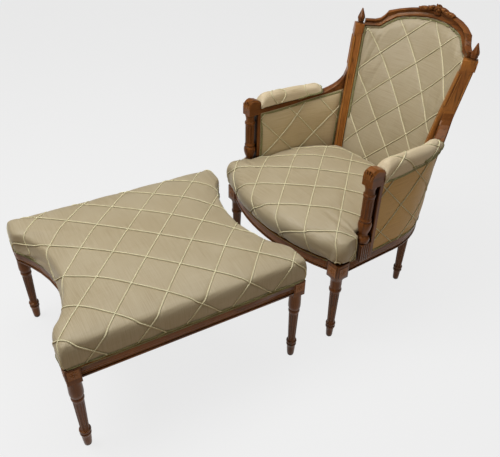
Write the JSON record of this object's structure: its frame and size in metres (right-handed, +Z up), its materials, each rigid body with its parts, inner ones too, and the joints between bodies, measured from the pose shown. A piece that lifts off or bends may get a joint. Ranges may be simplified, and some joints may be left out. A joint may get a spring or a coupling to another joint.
{
  "type": "armchair and footstool",
  "caption": "Tub armchair with a turned and carved show-wood frame, fluted tapering legs and trellis upholstery, with a matching footstool hollowed at its short ends.",
  "frame": {"origin": "middle of the bounding box of the chair and footstool together, on the floor", "axes": "+Z up; the chair faces -Y towards the footstool; +X is the sitter's left"},
  "size_m": [0.7778, 1.623, 1.0255],
  "materials": {
    "arm_column_left": "waxed reddish brown",
    "arm_column_right": "waxed reddish brown",
    "arm_pad_left": "silk with a raised cord trellis",
    "arm_pad_right": "silk with a raised cord trellis",
    "arm_plinth_left": "waxed reddish brown",
    "arm_plinth_right": "waxed reddish brown",
    "arm_post_left": "waxed reddish brown",
    "arm_post_right": "waxed reddish brown",
    "arm_rail_left": "waxed reddish brown",
    "arm_rail_right": "waxed reddish brown",
    "back_lower_rail": "waxed reddish brown",
    "back_pad": "silk with a raised cord trellis",
    "back_panel": "silk with a raised cord trellis",
    "corner_block_left": "waxed reddish brown",
    "corner_block_right": "waxed reddish brown",
    "crest_rail": "waxed reddish brown",
    "front_leg_left": "waxed reddish brown",
    "front_leg_right": "waxed reddish brown",
    "front_rail": "waxed reddish brown",
    "rear_post_left": "waxed reddish brown",
    "rear_post_right": "waxed reddish brown",
    "rear_rail": "waxed reddish brown",
    "seat_pad": "silk with a raised cord trellis",
    "seat_springs": "coarse hessian",
    "seat_webbing": "woven jute webbing",
    "side_pad_left": "silk with a raised cord trellis",
    "side_pad_right": "silk with a raised cord trellis",
    "side_panel_left": "silk with a raised cord trellis",
    "side_panel_right": "silk with a raised cord trellis",
    "side_rail_left": "waxed reddish brown",
    "side_rail_right": "waxed reddish brown",
    "stool_block_front_left": "waxed reddish brown",
    "stool_block_front_right": "waxed reddish brown",
    "stool_block_rear_left": "waxed reddish brown",
    "stool_block_rear_right": "waxed reddish brown",
    "stool_end_rail_front": "waxed reddish brown",
    "stool_end_rail_rear": "waxed reddish brown",
    "stool_leg_front_left": "waxed reddish brown",
    "stool_leg_front_right": "waxed reddish brown",
    "stool_leg_rear_left": "waxed reddish brown",
    "stool_leg_rear_right": "waxed reddish brown",
    "stool_pad": "silk with a raised cord trellis",
    "stool_side_rail_left": "waxed reddish brown",
    "stool_side_rail_right": "waxed reddish brown",
    "stool_springs": "coarse hessian",
    "stool_webbing": "woven jute webbing"
  },
  "bodies": {
    "armchair": {"arm_column_left": "arm_column_left", "arm_column_right": "arm_column_right", "arm_pad_left": "arm_pad_left", "arm_pad_right": "arm_pad_right", "arm_plinth_left": "arm_plinth_left", "arm_plinth_right": "arm_plinth_right", "arm_post_left": "arm_post_left", "arm_post_right": "arm_post_right", "arm_rail_left": "arm_rail_left", "arm_rail_right": "arm_rail_right", "back_lower_rail": "back_lower_rail", "back_pad": "back_pad", "back_panel": "back_panel", "corner_block_left": "corner_block_left", "corner_block_right": "corner_block_right", "crest_rail": "crest_rail", "front_leg_left": "front_leg_left", "front_leg_right": "front_leg_right", "front_rail": "front_rail", "rear_post_left": "rear_post_left", "rear_post_right": "rear_post_right", "rear_rail": "rear_rail", "seat_pad": "seat_pad", "seat_springs": "seat_springs", "seat_webbing": "seat_webbing", "side_pad_left": "side_pad_left", "side_pad_right": "side_pad_right", "side_panel_left": "side_panel_left", "side_panel_right": "side_panel_right", "side_rail_left": "side_rail_left", "side_rail_right": "side_rail_right"},
    "footstool": {"stool_block_front_left": "stool_block_front_left", "stool_block_front_right": "stool_block_front_right", "stool_block_rear_left": "stool_block_rear_left", "stool_block_rear_right": "stool_block_rear_right", "stool_end_rail_front": "stool_end_rail_front", "stool_end_rail_rear": "stool_end_rail_rear", "stool_leg_front_left": "stool_leg_front_left", "stool_leg_front_right": "stool_leg_front_right", "stool_leg_rear_left": "stool_leg_rear_left", "stool_leg_rear_right": "stool_leg_rear_right", "stool_pad": "stool_pad", "stool_side_rail_left": "stool_side_rail_left", "stool_side_rail_right": "stool_side_rail_right", "stool_springs": "stool_springs", "stool_webbing": "stool_webbing"}
  },
  "joints": [
    {"name": "footstool_slide", "type": "slide", "parent": "armchair", "child": "footstool", "axis": [0, -1, 0], "range_m": [-0.045, 0.5]}
  ]
}
